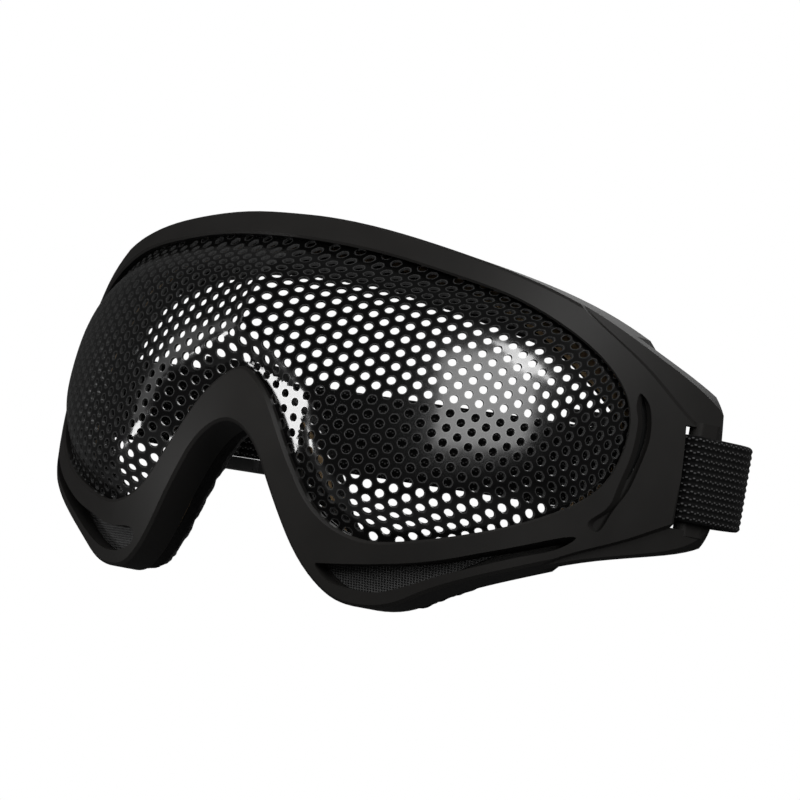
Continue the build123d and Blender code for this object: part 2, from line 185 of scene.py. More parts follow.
def depth_inside(points, outline):
    """Signed distance of front-view points to a closed outline, positive inside, and the
    nearest outline point. The side comes from counting crossings."""
    best = np.full(len(points), np.inf)
    near = np.zeros_like(points)
    inside = np.zeros(len(points), bool)
    for start, end in zip(outline, np.roll(outline, -1, 0)):
        edge = end - start
        share = np.clip(((points - start) @ edge) / (edge @ edge), 0, 1)
        spot = start + share[:, None] * edge
        gap = np.linalg.norm(points - spot, axis=1)
        closer = gap < best
        best[closer], near[closer] = gap[closer], spot[closer]
        spans = (start[1] > points[:, 1]) != (end[1] > points[:, 1])
        cut = start[0] + (points[:, 1] - start[1]) * edge[0] / (edge[1] + TINY)
        inside ^= spans & (points[:, 0] < cut)
    return np.where(inside, best, -best), near


mid_eye = np.array([[OPENING_HALF / 2, 0.0]])
print("depth of an eye inside the opening:", depth_inside(mid_eye, opening_curve)[0])

# %% [markdown]
# ## The perforated lens
# The real lens is one thin steel sheet, punched with staggered round holes and then pressed. It
# follows the frame, climbs steeply just inside its rim, and carries a ridge over the nose and a
# flat facet beside the nose on each side. The sheet is a formula here: depth as a function of the
# place in the front view. A sculpted mesh could have the same shape, but a formula also places
# every hole, and one number changes the climb or the ridge. The climb follows the distance to the
# opening, for which every fourth point of the outline is close enough and quicker.

# %% Where the pressed sheet lies
SHEET = 0.7 * MM
GROOVE = 2.75 * MM
PRESS_RISE, PRESS_FLANK = 6.5 * MM, 5.5 * MM
RIDGE_RISE, RIDGE_WIDE, RIDGE_ROUND = 3.5 * MM, 5.0 * MM, 0.5 * MM
EYE_X = 40.5 * MM
FACET = np.array([[1.4, 2.6], [18.0, -3.2], [15.7, -19.2], [6.5, -9.0]]) * MM
FACET_RISE = np.array([0.6, -0.6, 0.6]) * MM
FACET_FADE = 4.0 * MM
RIM_STEP = 4
coarse_opening = opening_curve[::RIM_STEP]


def pressed_y(x, z):
    """The frame's face at groove depth, pressed forward inside its rim: a bell curve of the
    distance from the rim makes the steep flank, and a sharp ridge stands over the nose."""
    flat = np.stack([x, z], -1).reshape(-1, 2)
    inward = np.maximum(depth_inside(flat, coarse_opening)[0], 0).reshape(np.shape(x))
    climb = 1 - np.exp(-(inward / PRESS_FLANK) ** 2)
    ridge = RIDGE_RISE * np.exp(-np.hypot(x, RIDGE_ROUND) / RIDGE_WIDE)
    return front_y(x, z) + GROOVE - (PRESS_RISE + ridge) * climb


def facet_y(x, z):
    """Depth of the plane through the facet's first three corners; the fourth is at the rim."""
    corner = pressed_y(FACET[:3, 0], FACET[:3, 1]) - FACET_RISE
    sides = np.array([FACET[1] - FACET[0], FACET[2] - FACET[0]])
    slope = np.linalg.solve(sides, corner[1:] - corner[0])
    return corner[0] + (x - FACET[0, 0]) * slope[0] + (z - FACET[0, 1]) * slope[1]


def lens_point(x, z):
    """The pressed sheet with a flat facet on each side of the nose. Inside the facet the sheet
    is a plane, and outside its edges the step to the pressed face fades away."""
    flat = np.stack([np.abs(x), z], -1).reshape(-1, 2)
    inward, near = depth_inside(flat, FACET)
    spot = np.where((inward > 0)[:, None], flat, near)
    step = facet_y(spot[:, 0], spot[:, 1]) - pressed_y(spot[:, 0], spot[:, 1])
    step *= np.exp(np.minimum(inward, 0) / FACET_FADE)
    return np.stack([x, pressed_y(x, z) + step.reshape(x.shape), z], -1)


print("sheet over an eye:", lens_point(np.array([EYE_X]), np.zeros(1)))

# %% [markdown]
# The holes stay round where the sheet turns away, because they were punched before the pressing.
# So the sheet is laid out flat and then bent: two tables give, for a length along the sheet, the
# x or z that it reaches on the pressed face.

# %% Bend the flat sheet onto the pressed face
REACH_X, REACH_Z = 90 * MM, 50 * MM
TABLE_SAMPLES = 400

table_x = np.linspace(0, REACH_X, TABLE_SAMPLES)
run_x = lengths_along(lens_point(table_x, np.zeros(TABLE_SAMPLES)))
table_z = np.linspace(-REACH_Z, REACH_Z, TABLE_SAMPLES)
run_z = lengths_along(lens_point(np.full(TABLE_SAMPLES, EYE_X), table_z))
run_z -= np.interp(0, table_z, run_z)


def bend(flat):
    """Flat sheet coordinates to front-view coordinates, by the two length tables."""
    x = np.sign(flat[:, 0]) * np.interp(np.abs(flat[:, 0]), run_x, table_x)
    return np.stack([x, np.interp(flat[:, 1], run_z, table_z)], -1)


print("length of the sheet from nose to ear:", np.interp(OPENING_HALF, table_x, run_x))

# %% [markdown]
# Cutting about a thousand holes one by one would be slow and would leave untidy faces. A sheet
# of staggered holes is also a honeycomb in which each cell is a six-sided plate with a round hole,
# so the cells are laid side by side and share their edges once they are merged.

# %% The honeycomb of punched cells
PITCH = 3.45 * MM
HOLE = 2.05 * MM
SPOKES = 18
COLUMNS, ROWS = 40, 16
TUCK = 2.0 * MM
OVERHANG_SHARE = 0.45
PLAIN_MARGIN = 0.4 * MM


def cell_centres():
    """Flat places of the cells near the opening, and their depths inside it: columns stand a
    pitch times the cosine of 30 degrees apart, and every other one is half a pitch higher."""
    column = PITCH * math.cos(math.radians(30))
    i, j = np.meshgrid(np.arange(-COLUMNS, COLUMNS + 1), np.arange(-ROWS, ROWS + 1), indexing="ij")
    centres = np.stack([i * column, (j + (i % 2) / 2) * PITCH], -1).reshape(-1, 2)
    depth, _ = depth_inside(bend(centres), opening_curve)
    keep = depth > -(TUCK + PITCH * OVERHANG_SHARE)
    return centres[keep], depth[keep]


def make_lens():
    """Each cell has a ring of corners on the six-sided plate's edge and one on the round
    hole's. Cells past the opening have no hole, and corners past the rim come back to it."""
    centres, depth = cell_centres()
    angle = np.arange(SPOKES) * 2 * math.pi / SPOKES
    plate = (PITCH / 2) / np.cos((angle % (math.pi / 3)) - math.pi / 6)
    ways = np.stack([np.cos(angle), np.sin(angle)], -1)
    outer = centres[:, None] + ways * plate[None, :, None]
    inner = centres[:, None] + ways * HOLE / 2
    place = bend(np.concatenate([outer, inner], 1).reshape(-1, 2))
    over, near = depth_inside(place, opening_curve + opening_out * TUCK)
    place = np.where((over < 0)[:, None], near, place)

    ring = 2 * SPOKES * np.arange(len(centres))[:, None] + np.arange(SPOKES)
    after = np.roll(ring, -1, 1)
    spokes = np.stack([ring, after, after + SPOKES, ring + SPOKES], -1)
    holed = depth >= -PLAIN_MARGIN
    faces = spokes[holed].reshape(-1, 4).tolist() + ring[~holed].tolist()
    sheet = put_mesh("lens_sheet", lens_point(place[:, 0], place[:, 1]), faces)
    edge = sheet.data.attributes.new("hole_edge", "FLOAT", "POINT")
    on_edge = np.tile(np.repeat([0.0, 1.0], SPOKES), len(centres))
    edge.data.foreach_set("value", on_edge.astype(np.float32))
    print("holes:", holed.sum(), "faces:", len(faces))
    return sheet


lens = make_lens()

# %% [markdown]
# Neighbouring cells have corners at the same place. Merging them makes one sheet, whose faces are
# then turned to the front.

# %% Merge the cells into one sheet
MERGE = 0.05 * MM

work = bmesh.new()
work.from_mesh(lens.data)
bmesh.ops.remove_doubles(work, verts=work.verts, dist=MERGE)
loose = [v for v in work.verts if not v.link_faces]
bmesh.ops.delete(work, geom=loose, context="VERTS")
bmesh.ops.recalc_face_normals(work, faces=work.faces)
if sum(f.normal.y for f in work.faces) > 0:
    bmesh.ops.reverse_faces(work, faces=work.faces)
work.to_mesh(lens.data)
work.free()
print("corners of the merged sheet:", len(lens.data.vertices))

# %% [markdown]
# Solidify gives the sheet its thickness. It is made part of the mesh here, because the facets and
# the punched edges are marked on the finished faces: an edge sharper than 40 degrees stays crisp,
# and the facets beside the nose are shaded flat, as the press left them.

# %% Thickness, crisp edges and flat facets
CRISP = math.radians(40)

thick = lens.modifiers.new("sheet thickness", "SOLIDIFY")
thick.thickness = SHEET
thick.offset = -1
bpy.context.view_layer.update()
thickened = lens.evaluated_get(bpy.context.evaluated_depsgraph_get())
lens_mesh = bpy.data.meshes.new_from_object(thickened)
lens.modifiers.clear()
lens.data = lens_mesh
lens_mesh.set_sharp_from_angle(angle=CRISP)
middle = np.zeros(3 * len(lens_mesh.polygons))
lens_mesh.polygons.foreach_get("center", middle)
middle = np.stack([np.abs(middle[0::3]), middle[2::3]], -1)
lens_mesh.polygons.foreach_set("use_smooth", depth_inside(middle, FACET)[0] < 0)
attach(lens, "goggles")
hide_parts("mesh_lens")
print("lens corners:", len(lens.data.vertices))

# %% [markdown]
# ## The face seal
# Behind the frame sit three layers that follow its seat: a stiff adhesive backing, a soft black
# foam and a fleece face. The foam is cut from a slab, so its sides draw in a little between the
# glued face and the skin side, and its surface is uneven. A subdivided curve with a bevel could be
# used, but here a rounded section is swept round the seat curve by a formula, which lets the foam
# grow wider at the brow, and sums of sine waves give the bumps as real relief.

# %% Sweep a soft section round the seat
PANEL, SHROUD, SHROUD_EXTRA = 4.6 * MM, 7.0 * MM, 6.0 * MM
BROW_EXTRA = 4.5 * MM
BROW_START_SHARE, BROW_GROW_SHARE = 0.55, 0.4
SECTION_SAMPLES = 30
SQUARENESS = 5
SIDE_PUSH, LEAST_PUSH = 0.9, 0.15
FINE_BUMPS, FINE_RATIO = 0.5, 2.3
WAVES = 14


def seat_y(x, z):
    """Depth of the frame's seat: the front face plus the panel and a shroud that is deeper at
    the brow."""
    share = (z + DROP) / (TOP + DROP)
    return front_y(x, z) + PANEL + SHROUD + SHROUD_EXTRA * share


def waves(points, length, seed):
    """Uneven height between about minus one and one: sine waves of one length in random
    directions, added up."""
    rng = np.random.default_rng(seed)
    ways = rng.normal(size=(WAVES, 3))
    ways *= 2 * math.pi / length / np.linalg.norm(ways, axis=1, keepdims=True)
    shift = rng.uniform(0, 2 * math.pi, WAVES)
    return np.sin(points @ ways.T + shift).sum(-1) / math.sqrt(WAVES)


def seal_layer(name, inset, wide, start, thick, drawn, bump, bump_size, seed):
    """A closed ring: at each point of the seat curve stands a rounded rectangle (a squared
    circle of power 5) whose sides draw in at mid thickness, and bumps push it outwards. The
    seat curve runs clockwise, so each face's corners are taken backwards to face outwards."""
    turn = np.linspace(0, 2 * math.pi, SECTION_SAMPLES, endpoint=False)
    sx = np.sign(np.cos(turn)) * np.abs(np.cos(turn)) ** (2 / SQUARENESS)
    sy = np.sign(np.sin(turn)) * np.abs(np.sin(turn)) ** (2 / SQUARENESS)
    pinch = 1 - drawn * (1 - sy ** 2)
    back = 0.5 + 0.5 * sy
    brow = np.clip((seat_curve[:, 1] / TOP - BROW_START_SHARE) / BROW_GROW_SHARE, 0, 1)
    wide = wide + BROW_EXTRA * (brow * brow * (3 - 2 * brow))[:, None]
    offset = inset + wide / 2 - (sx * pinch)[None] * wide / 2
    flat = seat_curve[:, None] - seat_out[:, None] * offset[..., None]
    x, z = flat[..., 0], flat[..., 1]
    spots = np.stack([x, seat_y(x, z) + start + thick * back[None], z], -1)
    aside = seat_out[:, None] * (sx * SIDE_PUSH)[None, :, None]
    push = np.stack([aside[..., 0], np.broadcast_to(sy, x.shape), aside[..., 1]], -1)
    free = np.clip(back, LEAST_PUSH, 1)[None, :, None]
    fine = waves(spots, bump_size / FINE_RATIO, seed + 1)
    lift = waves(spots, bump_size, seed) + FINE_BUMPS * fine
    spots = spots + push * (bump * lift)[..., None] * free
    faces = grid_faces(len(seat_curve), SECTION_SAMPLES, wrap_rows=True)[:, ::-1]
    ring = put_mesh(name, spots.reshape(-1, 3), faces.tolist())
    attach(ring, "goggles")
    return ring


foam = seal_layer("foam_ring", inset=0.7 * MM, wide=8.3 * MM, start=0.95 * MM, thick=6.2 * MM,
                  drawn=0.07, bump=0.16 * MM, bump_size=3.4 * MM, seed=3)
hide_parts("seal_foam")
fleece = seal_layer("fleece_ring", inset=1.6 * MM, wide=6.4 * MM, start=7.2 * MM, thick=2.0 * MM,
                    drawn=0.0, bump=0.22 * MM, bump_size=4.2 * MM, seed=7)
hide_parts("seal_fleece")
print("foam corners:", len(foam.data.vertices))

# %% [markdown]
# ## The elastic strap
# The strap is a woven elastic band. It comes from the back of the head, folds forward beside the
# ear, passes out over the frame's flange, turns round the upright post and runs back inside. Its
# path in plan is the same row of lines and arcs as the CAD node's.

# %% The strap's path in plan
SLOT_X, SLOT_Z = 82.0 * MM, -5.5 * MM
POST, POST_LONG, PLAY, BAND = 4.0 * MM, 4.0 * MM, 0.9 * MM, 1.5 * MM
FLANGE_DEPTH, FLANGE = 1.5 * MM, 3.0 * MM
REACH = POST / 2 + PLAY + BAND / 2
FOLD, RUN_ON, SLOT_CLEAR = 10.5 * MM, 5.0 * MM, 0.8 * MM
FOLD_SAMPLES, LOOP_SAMPLES, INNER_SAMPLES = 30, 26, 16


def arc(centre, radius, first, last, samples):
    """Points of a circle between two angles, in plan."""
    t = np.linspace(first, last, samples)
    return centre + radius * np.stack([np.cos(t), np.sin(t)], -1)


def ear_path():
    """The right side's path from the back run to the inside of the fold, and the fold's
    centre, from the way the front face runs at the ear slot."""
    x = SLOT_X + np.array([-POST_LONG / 2, 0, POST_LONG / 2])
    ahead, corner, after = np.stack([x, front_y(x, SLOT_Z)], -1)
    along = (after - ahead) / np.linalg.norm(after - ahead)
    out = np.array([along[1], -along[0]])
    post = corner + along * (SLOT_CLEAR + BAND / 2 + REACH) - out * (FLANGE_DEPTH + FLANGE / 2)
    centre = post + along * (POST_LONG + RUN_ON) + out * (REACH - FOLD)
    heading = math.atan2(out[1], out[0])
    fold = arc(centre, FOLD, math.pi / 2, heading, FOLD_SAMPLES)
    loop = arc(post, REACH, heading, heading - math.pi, LOOP_SAMPLES)
    back = arc(centre, FOLD - 2 * REACH, heading, math.pi / 2, INNER_SAMPLES)
    return np.vstack([fold, loop, back]), centre


side_path, fold_centre = ear_path()
band_path = np.vstack([side_path[::-1] * [-1, 1], side_path])
inner_y = fold_centre[1] + FOLD - 2 * REACH
print("fold centre:", fold_centre, "band length:", lengths_along(band_path)[-1])

# %% [markdown]
# The webbing has 13 raised ribs along its length on both faces, and each rib is a row of short
# floats, where the thread passes over the weave. The ribs are real relief, because they show in
# the outline at the folds, and the finer threads are left to the finish. A section with its ribs
# is swept along the path, and the UV map holds the length along the band and the height.

# %% Weave a ribbed band along a path
WIDE = 20.0 * MM
RIBS, RIB_RISE = 13, 0.26 * MM
PATH_STEP = 0.5 * MM
FACE_SAMPLES = 66
EDGE_SQUARENESS = 24
FLOAT_LONG, FLOAT_SHARE = 2.4 * MM, 0.06


def even(path):
    """The same path with points at an even step along it, and the length at each."""
    run = lengths_along(path)
    s = np.linspace(0, run[-1], int(run[-1] / PATH_STEP) + 1)
    return np.stack([np.interp(s, run, path[:, 0]), np.interp(s, run, path[:, 1])], -1), s


def webbing(name, path):
    """A band standing on edge. Its section is a rounded rectangle whose two faces rise by
    raised cosines into ribs, and a sine wave along the band swells and sinks each rib."""
    line, s = even(path)
    along = np.gradient(line, axis=0)
    along /= np.linalg.norm(along, axis=1, keepdims=True)
    left = np.stack([-along[:, 1], along[:, 0]], -1)
    up = np.linspace(-1, 1, FACE_SAMPLES)
    up = np.concatenate([up, up[::-1]])
    face = np.repeat([1.0, -1.0], FACE_SAMPLES)
    edge = (1 - np.abs(up) ** EDGE_SQUARENESS) ** 0.5
    rib = 0.5 + 0.5 * np.cos(up * math.pi * RIBS)
    swell = 0.5 + 0.5 * np.sin(2 * math.pi * s[:, None] / FLOAT_LONG + face)
    half = (0.5 * BAND - RIB_RISE + RIB_RISE * rib) * edge * (1 - FLOAT_SHARE * swell)
    plan = line[:, None] + left[:, None] * (face * half)[..., None]
    height = np.broadcast_to(SLOT_Z + up * WIDE / 2, plan.shape[:2])
    spots = np.concatenate([plan, height[..., None]], -1)

    rows, columns = spots.shape[:2]
    first_ring = list(range(columns))
    last_ring = list(range((rows - 1) * columns, rows * columns))
    caps = [first_ring[::-1], last_ring]
    strip = put_mesh(name, spots.reshape(-1, 3), grid_faces(rows, columns).tolist() + caps)
    uv = np.stack([np.repeat(s, columns), np.tile(up * WIDE / 2, rows)], -1)
    layer = strip.data.uv_layers.new(name="weave")
    corner = np.zeros(len(strip.data.loops), np.int32)
    strip.data.loops.foreach_get("vertex_index", corner)
    layer.data.foreach_set("uv", uv[corner].astype(np.float32).ravel())
    return strip


band = webbing("strap_webbing", band_path)
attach(band, "strap")
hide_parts("strap_band")
print("strap corners:", len(band.data.vertices))

# %% [markdown]
# Each end of the strap runs from the inside of its fold to the adjuster, turns round the middle
# bar and is sewn back onto itself. The adjuster slides along the band. The seam is two rows of
# short beads of thread, each made of four rings, of which the end ones close to a point.

# %% The path and the seam of a sewn end
BAR, BAR_FIT, BAR_PITCH, BAR_X = 3.0 * MM, 0.3 * MM, 8.5 * MM, 50.0 * MM
BAR_REACH = BAR / 2 + BAR_FIT + BAND / 2
SEAM_FROM_BAR, SEAM_GAP, SEAM_HALF = 4.2 * MM, 2.2 * MM, 7.0 * MM
STITCH_PITCH, STITCH_LONG = 1.75 * MM, 1.25 * MM
STITCH_WIDE, STITCH_RISE = 0.16 * MM, 0.12 * MM
BEAD_RINGS, BEAD_CORNERS = 4, 8
BAR_SAMPLES = 24

bar_y = inner_y + BAR_REACH
bar_turn = arc(np.array([BAR_X, bar_y]), BAR_REACH, -math.pi / 2, -3 * math.pi / 2, BAR_SAMPLES)
return_path = np.vstack([[[fold_centre[0], inner_y]], bar_turn,
                         [[BAR_X + BAR_PITCH, bar_y + BAR_REACH]]])


def stitches(name, side):
    """Two rows of beads on the outer face of the sewn end: rings of corners along each bead,
    whose size is zero at both ends."""
    rows = np.arange(-SEAM_HALF, SEAM_HALF + STITCH_PITCH / 2, STITCH_PITCH)
    columns = BAR_X + SEAM_FROM_BAR + SEAM_GAP * np.arange(2)
    column, row, ring, turn = np.meshgrid(
        columns, rows, np.arange(BEAD_RINGS), np.arange(BEAD_CORNERS), indexing="ij")
    grow = np.where((ring == 0) | (ring == BEAD_RINGS - 1), 0.0, 1.0)
    angle = turn * 2 * math.pi / BEAD_CORNERS
    x = side * column + np.cos(angle) * STITCH_WIDE * grow
    y = bar_y + BAR_REACH + BAND / 2 + np.sin(angle) * STITCH_RISE * grow
    z = SLOT_Z + row + (ring / (BEAD_RINGS - 1) - 0.5) * STITCH_LONG
    starts = BEAD_RINGS * BEAD_CORNERS * np.arange(len(columns) * len(rows))
    faces = grid_faces(BEAD_RINGS, BEAD_CORNERS) + starts[:, None, None]
    return put_mesh(name, np.stack([x, y, z], -1).reshape(-1, 3), faces.reshape(-1, 4).tolist())


print("return length:", lengths_along(return_path)[-1])

# %% [markdown]
# The right and left ends are the same path, mirrored. The webbing is worked out along the mirrored
# path, and not scaled by minus one, so its faces still point outwards.

# %% Sew both ends
ends, seams = [], []
for name, side in (("right", 1), ("left", -1)):
    end = webbing("return_webbing_" + name, return_path * [side, 1])
    side * fold_centre[0]
    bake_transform(end)
    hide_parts("strap_return_" + name)
    seam = stitches("stitches_" + name, side)
    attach(seam, "adjuster_" + name)
    ends.append(end)
    seams.append(seam)
print("sewn ends:", [end.name for end in ends])

# %% [markdown]
# ## Finishes
# Each material is a small network of nodes. The classes below let a shader socket be added and
# multiplied like a number, so that a pattern reads as a formula, and add any other node by one
# method. Patterns use the object's own coordinates or the strap's UV map, so they stay on the
# piece when it moves.

# %% Shader arithmetic
class Value:
    """A shader socket that can be used in arithmetic. Each operator adds a Math node."""

    def __init__(self, network, socket):
        self.network = network
        self.socket = socket

    def maths(self, operation, *others):
        """A Math node on this value and then the others."""
        items = enumerate((self, *others))
        return self.network.node("ShaderNodeMath", 0, items, operation=operation)

    def __add__(self, other):
        return self.maths("ADD", other)

    def __radd__(self, other):
        return self.maths("ADD", other)

    def __sub__(self, other):
        return self.maths("SUBTRACT", other)

    def __rsub__(self, other):
        return self * -1.0 + other

    def __mul__(self, other):
        return self.maths("MULTIPLY", other)

    def __rmul__(self, other):
        return self.maths("MULTIPLY", other)

    def wave(self):
        """Sine of the value, moved to lie between 0 and 1."""
        return 0.5 + 0.5 * self.maths("SINE")

    def between(self, low, high):
        """A smooth climb from 0 at low to 1 at high."""
        return self.network.node("ShaderNodeMapRange", "Result", {
            "Value": self, "From Min": low, "From Max": high}, interpolation_type="SMOOTHSTEP")

    def axis(self, letter):
        """One coordinate of a vector."""
        return self.network.node("ShaderNodeSeparateXYZ", letter, {"Vector": self})


class Network:
    """A node tree, with the one method that adds a node of any type to it."""

    def __init__(self, tree):
        self.tree = tree

    def join(self, item, place):
        """Link a value to an input, or set the input to a constant."""
        if isinstance(item, Value):
            self.tree.links.new(item.socket, place)
        else:
            place.default_value = item

    def node(self, kind, output=0, inputs=(), **settings):
        """Add a node, set its settings and then its inputs, and return one output."""
        node = self.tree.nodes.new(kind)
        for key, item in settings.items():
            setattr(node, key, item)
        for key, item in dict(inputs).items():
            self.join(item, node.inputs[key])
        return Value(self, node.outputs[output])


class Finish(Network):
    """One material: a network round a Principled shader, with the constants of its sockets."""

    def __init__(self, name, **constants):
        self.material = bpy.data.materials.new(name)
        self.material.use_nodes = True
        super().__init__(self.material.node_tree)
        self.shader = self.tree.nodes["Principled BSDF"]
        for key, item in constants.items():
            self.feed(key.replace("_", " "), item)

    def feed(self, name, item):
        """Give one input of the shader its value or constant."""
        self.join(item, self.shader.inputs[name])

    def place(self):
        """The object's own coordinates, in metres."""
        return self.node("ShaderNodeTexCoord", "Object")

    def noise(self, size, detail=3.0, rough=0.5):
        """Soft noise whose spots are about the given size in metres."""
        return self.node("ShaderNodeTexNoise", "Fac", {
            "Vector": self.place(), "Scale": 1 / size, "Detail": detail, "Roughness": rough})

    def mix(self, share, first, second):
        """A colour between two colours. On a Mix node for colours, inputs 6 and 7 are the
        colours and output 2 is the result."""
        return self.node("ShaderNodeMix", 2, {"Factor": share, 6: first, 7: second},
                         data_type="RGBA")

    def bump(self, height, depth, strength):
        """Relief: a height between 0 and 1 that stands for so many metres."""
        self.feed("Normal", self.node("ShaderNodeBump", "Normal", {
            "Height": height, "Distance": depth, "Strength": strength}))


def grey(level, warm=0.0):
    """A grey of one level, made warmer by a share of it."""
    return (level * (1 + warm), level, level * (1 - warm), 1.0)


print("one step of grey:", grey(0.5, 0.05))

# %% [markdown]
# The frame is a soft moulded rubber: black, satin where the mould was polished, and a little
# uneven in gloss from handling. Its grain is finer than a pixel, so it is a bump and not geometry.
# The adjusters are a harder, glossier plastic with faint scuffs.

# %% Frame rubber and adjuster plastic
rubber = Finish("frame_rubber", Specular_IOR_Level=0.25)
cloud = rubber.noise(14 * MM, 4.0)
grain = rubber.noise(0.35 * MM, 2.0)
rubber.feed("Base Color", rubber.mix(cloud, grey(0.014, 0.05), grey(0.022, 0.05)))
rubber.feed("Roughness", 0.40 + 0.10 * cloud + 0.06 * grain)
rubber.bump(grain, 0.02 * MM, 0.35)

plastic = Finish("slider_plastic", Coat_Roughness=0.2)
scuff = plastic.noise(5 * MM, 5.0, 0.6)
plastic.feed("Base Color", plastic.mix(scuff, grey(0.012), grey(0.02)))
plastic.feed("Roughness", 0.22 + 0.2 * scuff)
plastic.bump(plastic.noise(0.5 * MM), 0.01 * MM, 0.3)
print("moulded finishes:", rubber.material.name, plastic.material.name)

# %% [markdown]
# The backing is a tan film with paler flecks. The filter over the lower vents is a fine grey net:
# two sets of sine waves cross, the larger of the two says where a thread lies on top, and dust
# makes some threads paler.

# %% Adhesive film and filter net
film = Finish("seal_film")
fleck = film.noise(0.8 * MM, 4.0, 0.7)
film.feed("Base Color", film.mix(fleck, (0.34, 0.22, 0.11, 1), (0.50, 0.36, 0.21, 1)))
film.feed("Roughness", 0.6 + 0.25 * fleck)
film.bump(fleck, 0.05 * MM, 0.5)

net = Finish("filter_net")
net_turns = 2 * math.pi / (0.55 * MM)
warp = (net.place().axis("X") * net_turns).wave()
weft = (net.place().axis("Z") * net_turns).wave()
on_top = warp.maths("MAXIMUM", weft).between(0.55, 0.95)
dust = net.noise(0.7 * MM, 2.0)
net.feed("Base Color", net.mix(on_top * (0.5 + dust), grey(0.008), grey(0.10)))
net.feed("Roughness", 0.55 + 0.3 * dust)
net.bump(on_top, 0.15 * MM, 0.8)
print("film and net finishes:", film.material.name, net.material.name)

# %% [markdown]
# The lens is steel with a thin black coating. The edge of each punched hole gets a paler, more
# metallic colour: a painted glint, a fine bright ring that stands in for the light the edges and
# walls of the holes catch. The attribute `hole_edge` runs from 0 between the holes to 1 on their
# edges, so the ring follows every hole without a picture of it.

# %% Coated steel
coated = Finish("coated_steel", Coat_Weight=1.0, Coat_Roughness=0.12, Coat_IOR=1.6)
edge = coated.node("ShaderNodeAttribute", "Fac", attribute_name="hole_edge")
# Painted glint: a ring on each hole edge that stands in for the light the edges catch.
painted_glint_ring = edge.between(0.62, 0.98)
orange_peel = coated.noise(1.1 * MM, 3.0)
wear = coated.noise(9 * MM, 4.0)
# The ring's paler grey and higher metallic are a painted glint, not a change in the coating.
coated.feed("Base Color", coated.mix(painted_glint_ring, grey(0.002), grey(0.09)))
coated.feed("Metallic", 0.1 + 0.3 * painted_glint_ring)
coated.feed("Roughness", 0.20 + 0.08 * wear - 0.02 * painted_glint_ring)
coated.bump(orange_peel, 0.03 * MM, 0.35)
print("lens finish:", coated.material.name)

# %% [markdown]
# The foam has open cells, which a Voronoi pattern gives, under larger soft lumps. The fleece is a
# pile of fine tufts: it is lighter where they stand up, and a sheen catches light along them.

# %% Foam and fleece
sponge = Finish("seal_sponge", Specular_IOR_Level=0.3)
cells = sponge.node("ShaderNodeTexVoronoi", "Distance", {
    "Vector": sponge.place(), "Scale": 1 / (0.9 * MM), "Randomness": 1.0})
lumps = sponge.noise(2.6 * MM, 3.0)
sponge.feed("Base Color", sponge.mix(lumps, grey(0.006), grey(0.022)))
sponge.feed("Roughness", 0.7 + 0.25 * cells)
sponge.bump(cells * 0.5 + lumps, 0.35 * MM, 0.7)

pile = Finish("fleece_pile", Sheen_Weight=0.6, Sheen_Roughness=0.5, Specular_IOR_Level=0.2)
tuft = pile.noise(0.45 * MM, 4.0, 0.7)
clump = pile.noise(3.0 * MM, 2.0)
standing = (tuft * clump * 2.2).between(0.25, 0.9)
pile.feed("Base Color", pile.mix(standing, grey(0.018), grey(0.13)))
pile.feed("Roughness", 0.85 + 0.1 * tuft)
pile.bump(tuft, 0.3 * MM, 0.9)
print("seal finishes:", sponge.material.name, pile.material.name)

# %% [markdown]
# The webbing is woven from black elastic, with paler dots where a thread floats over a rib. Its UV
# map gives the length along the band and the height, in metres, so the dots sit on the modelled
# ribs. The sign of a slower wave moves the dots of every other rib by half their distance. The
# sewing thread is a plain twisted one.

# %% Webbing and sewing thread
FLOAT_PITCH, STRAND_PITCH, STRAND_LEAN = 1.5 * MM, 0.32 * MM, 0.9 * MM

woven = Finish("woven_elastic", Sheen_Weight=0.05, Sheen_Roughness=0.4, Specular_IOR_Level=0.15)
uv = woven.node("ShaderNodeUVMap", "UV", uv_map="weave")
run, height = uv.axis("X"), uv.axis("Y")
rib_turns = 2 * math.pi * RIBS / WIDE
crest = (height * rib_turns + math.pi / 2).wave()
stagger = (height * (rib_turns / 2)).maths("SINE").maths("SIGN")
floats = (run * (2 * math.pi / FLOAT_PITCH) + stagger * (math.pi / 2)).wave()
strand = (run * (2 * math.pi / STRAND_PITCH) + height * (2 * math.pi / STRAND_LEAN)).wave()
dots = floats.between(0.62, 0.95) * crest.between(0.45, 0.9)
fuzz = woven.noise(0.5 * MM, 3.0)
woven.feed("Base Color", woven.mix(dots * (0.55 + 0.45 * fuzz), grey(0.003), grey(0.12)))
woven.feed("Roughness", 0.62 + 0.25 * fuzz)
woven.bump(0.5 * floats * crest + 0.35 * strand + 0.15 * fuzz, 0.14 * MM, 0.8)

thread = Finish("sewing_thread", Specular_IOR_Level=0.3)
twist = thread.noise(0.3 * MM, 2.0)
thread.feed("Base Color", thread.mix(twist, grey(0.02), grey(0.09)))
thread.feed("Roughness", 0.6 + 0.2 * twist)
print("strap finishes:", woven.material.name, thread.material.name)

# %% [markdown]
# A CAD node keeps its mesh and only gets the finish in its material slots. A new piece gets its
# finish as its one material.

# %% Give each piece its finish
CAD_FINISHES = {
    "goggle_frame": rubber, "slider_right": plastic, "slider_left": plastic,
    "seal_backing": film, "lower_filter_right": net, "lower_filter_left": net}
for name, finish in CAD_FINISHES.items():
    mesh = nodes[name].data
    if not mesh.materials:
        mesh.materials.append(None)
    for place in range(len(mesh.materials)):
        mesh.materials[place] = finish.material

new_pieces = [(lens, coated), (foam, sponge), (fleece, pile), (band, woven)]
new_pieces += [(end, woven) for end in ends] + [(seam, thread) for seam in seams]
for piece, finish in new_pieces:
    piece.data.materials.append(finish.material)
print("materials:", [m.name for m in bpy.data.materials])

# %% [markdown]
# ## Studio
# The photo is a cut-out on pure white. The floor and the world show as white to the camera, and
# give only a soft grey light to the goggles. A Light Path node tells the camera's rays from all
# others, which is simpler than painting a backdrop and keeps the black pieces black.

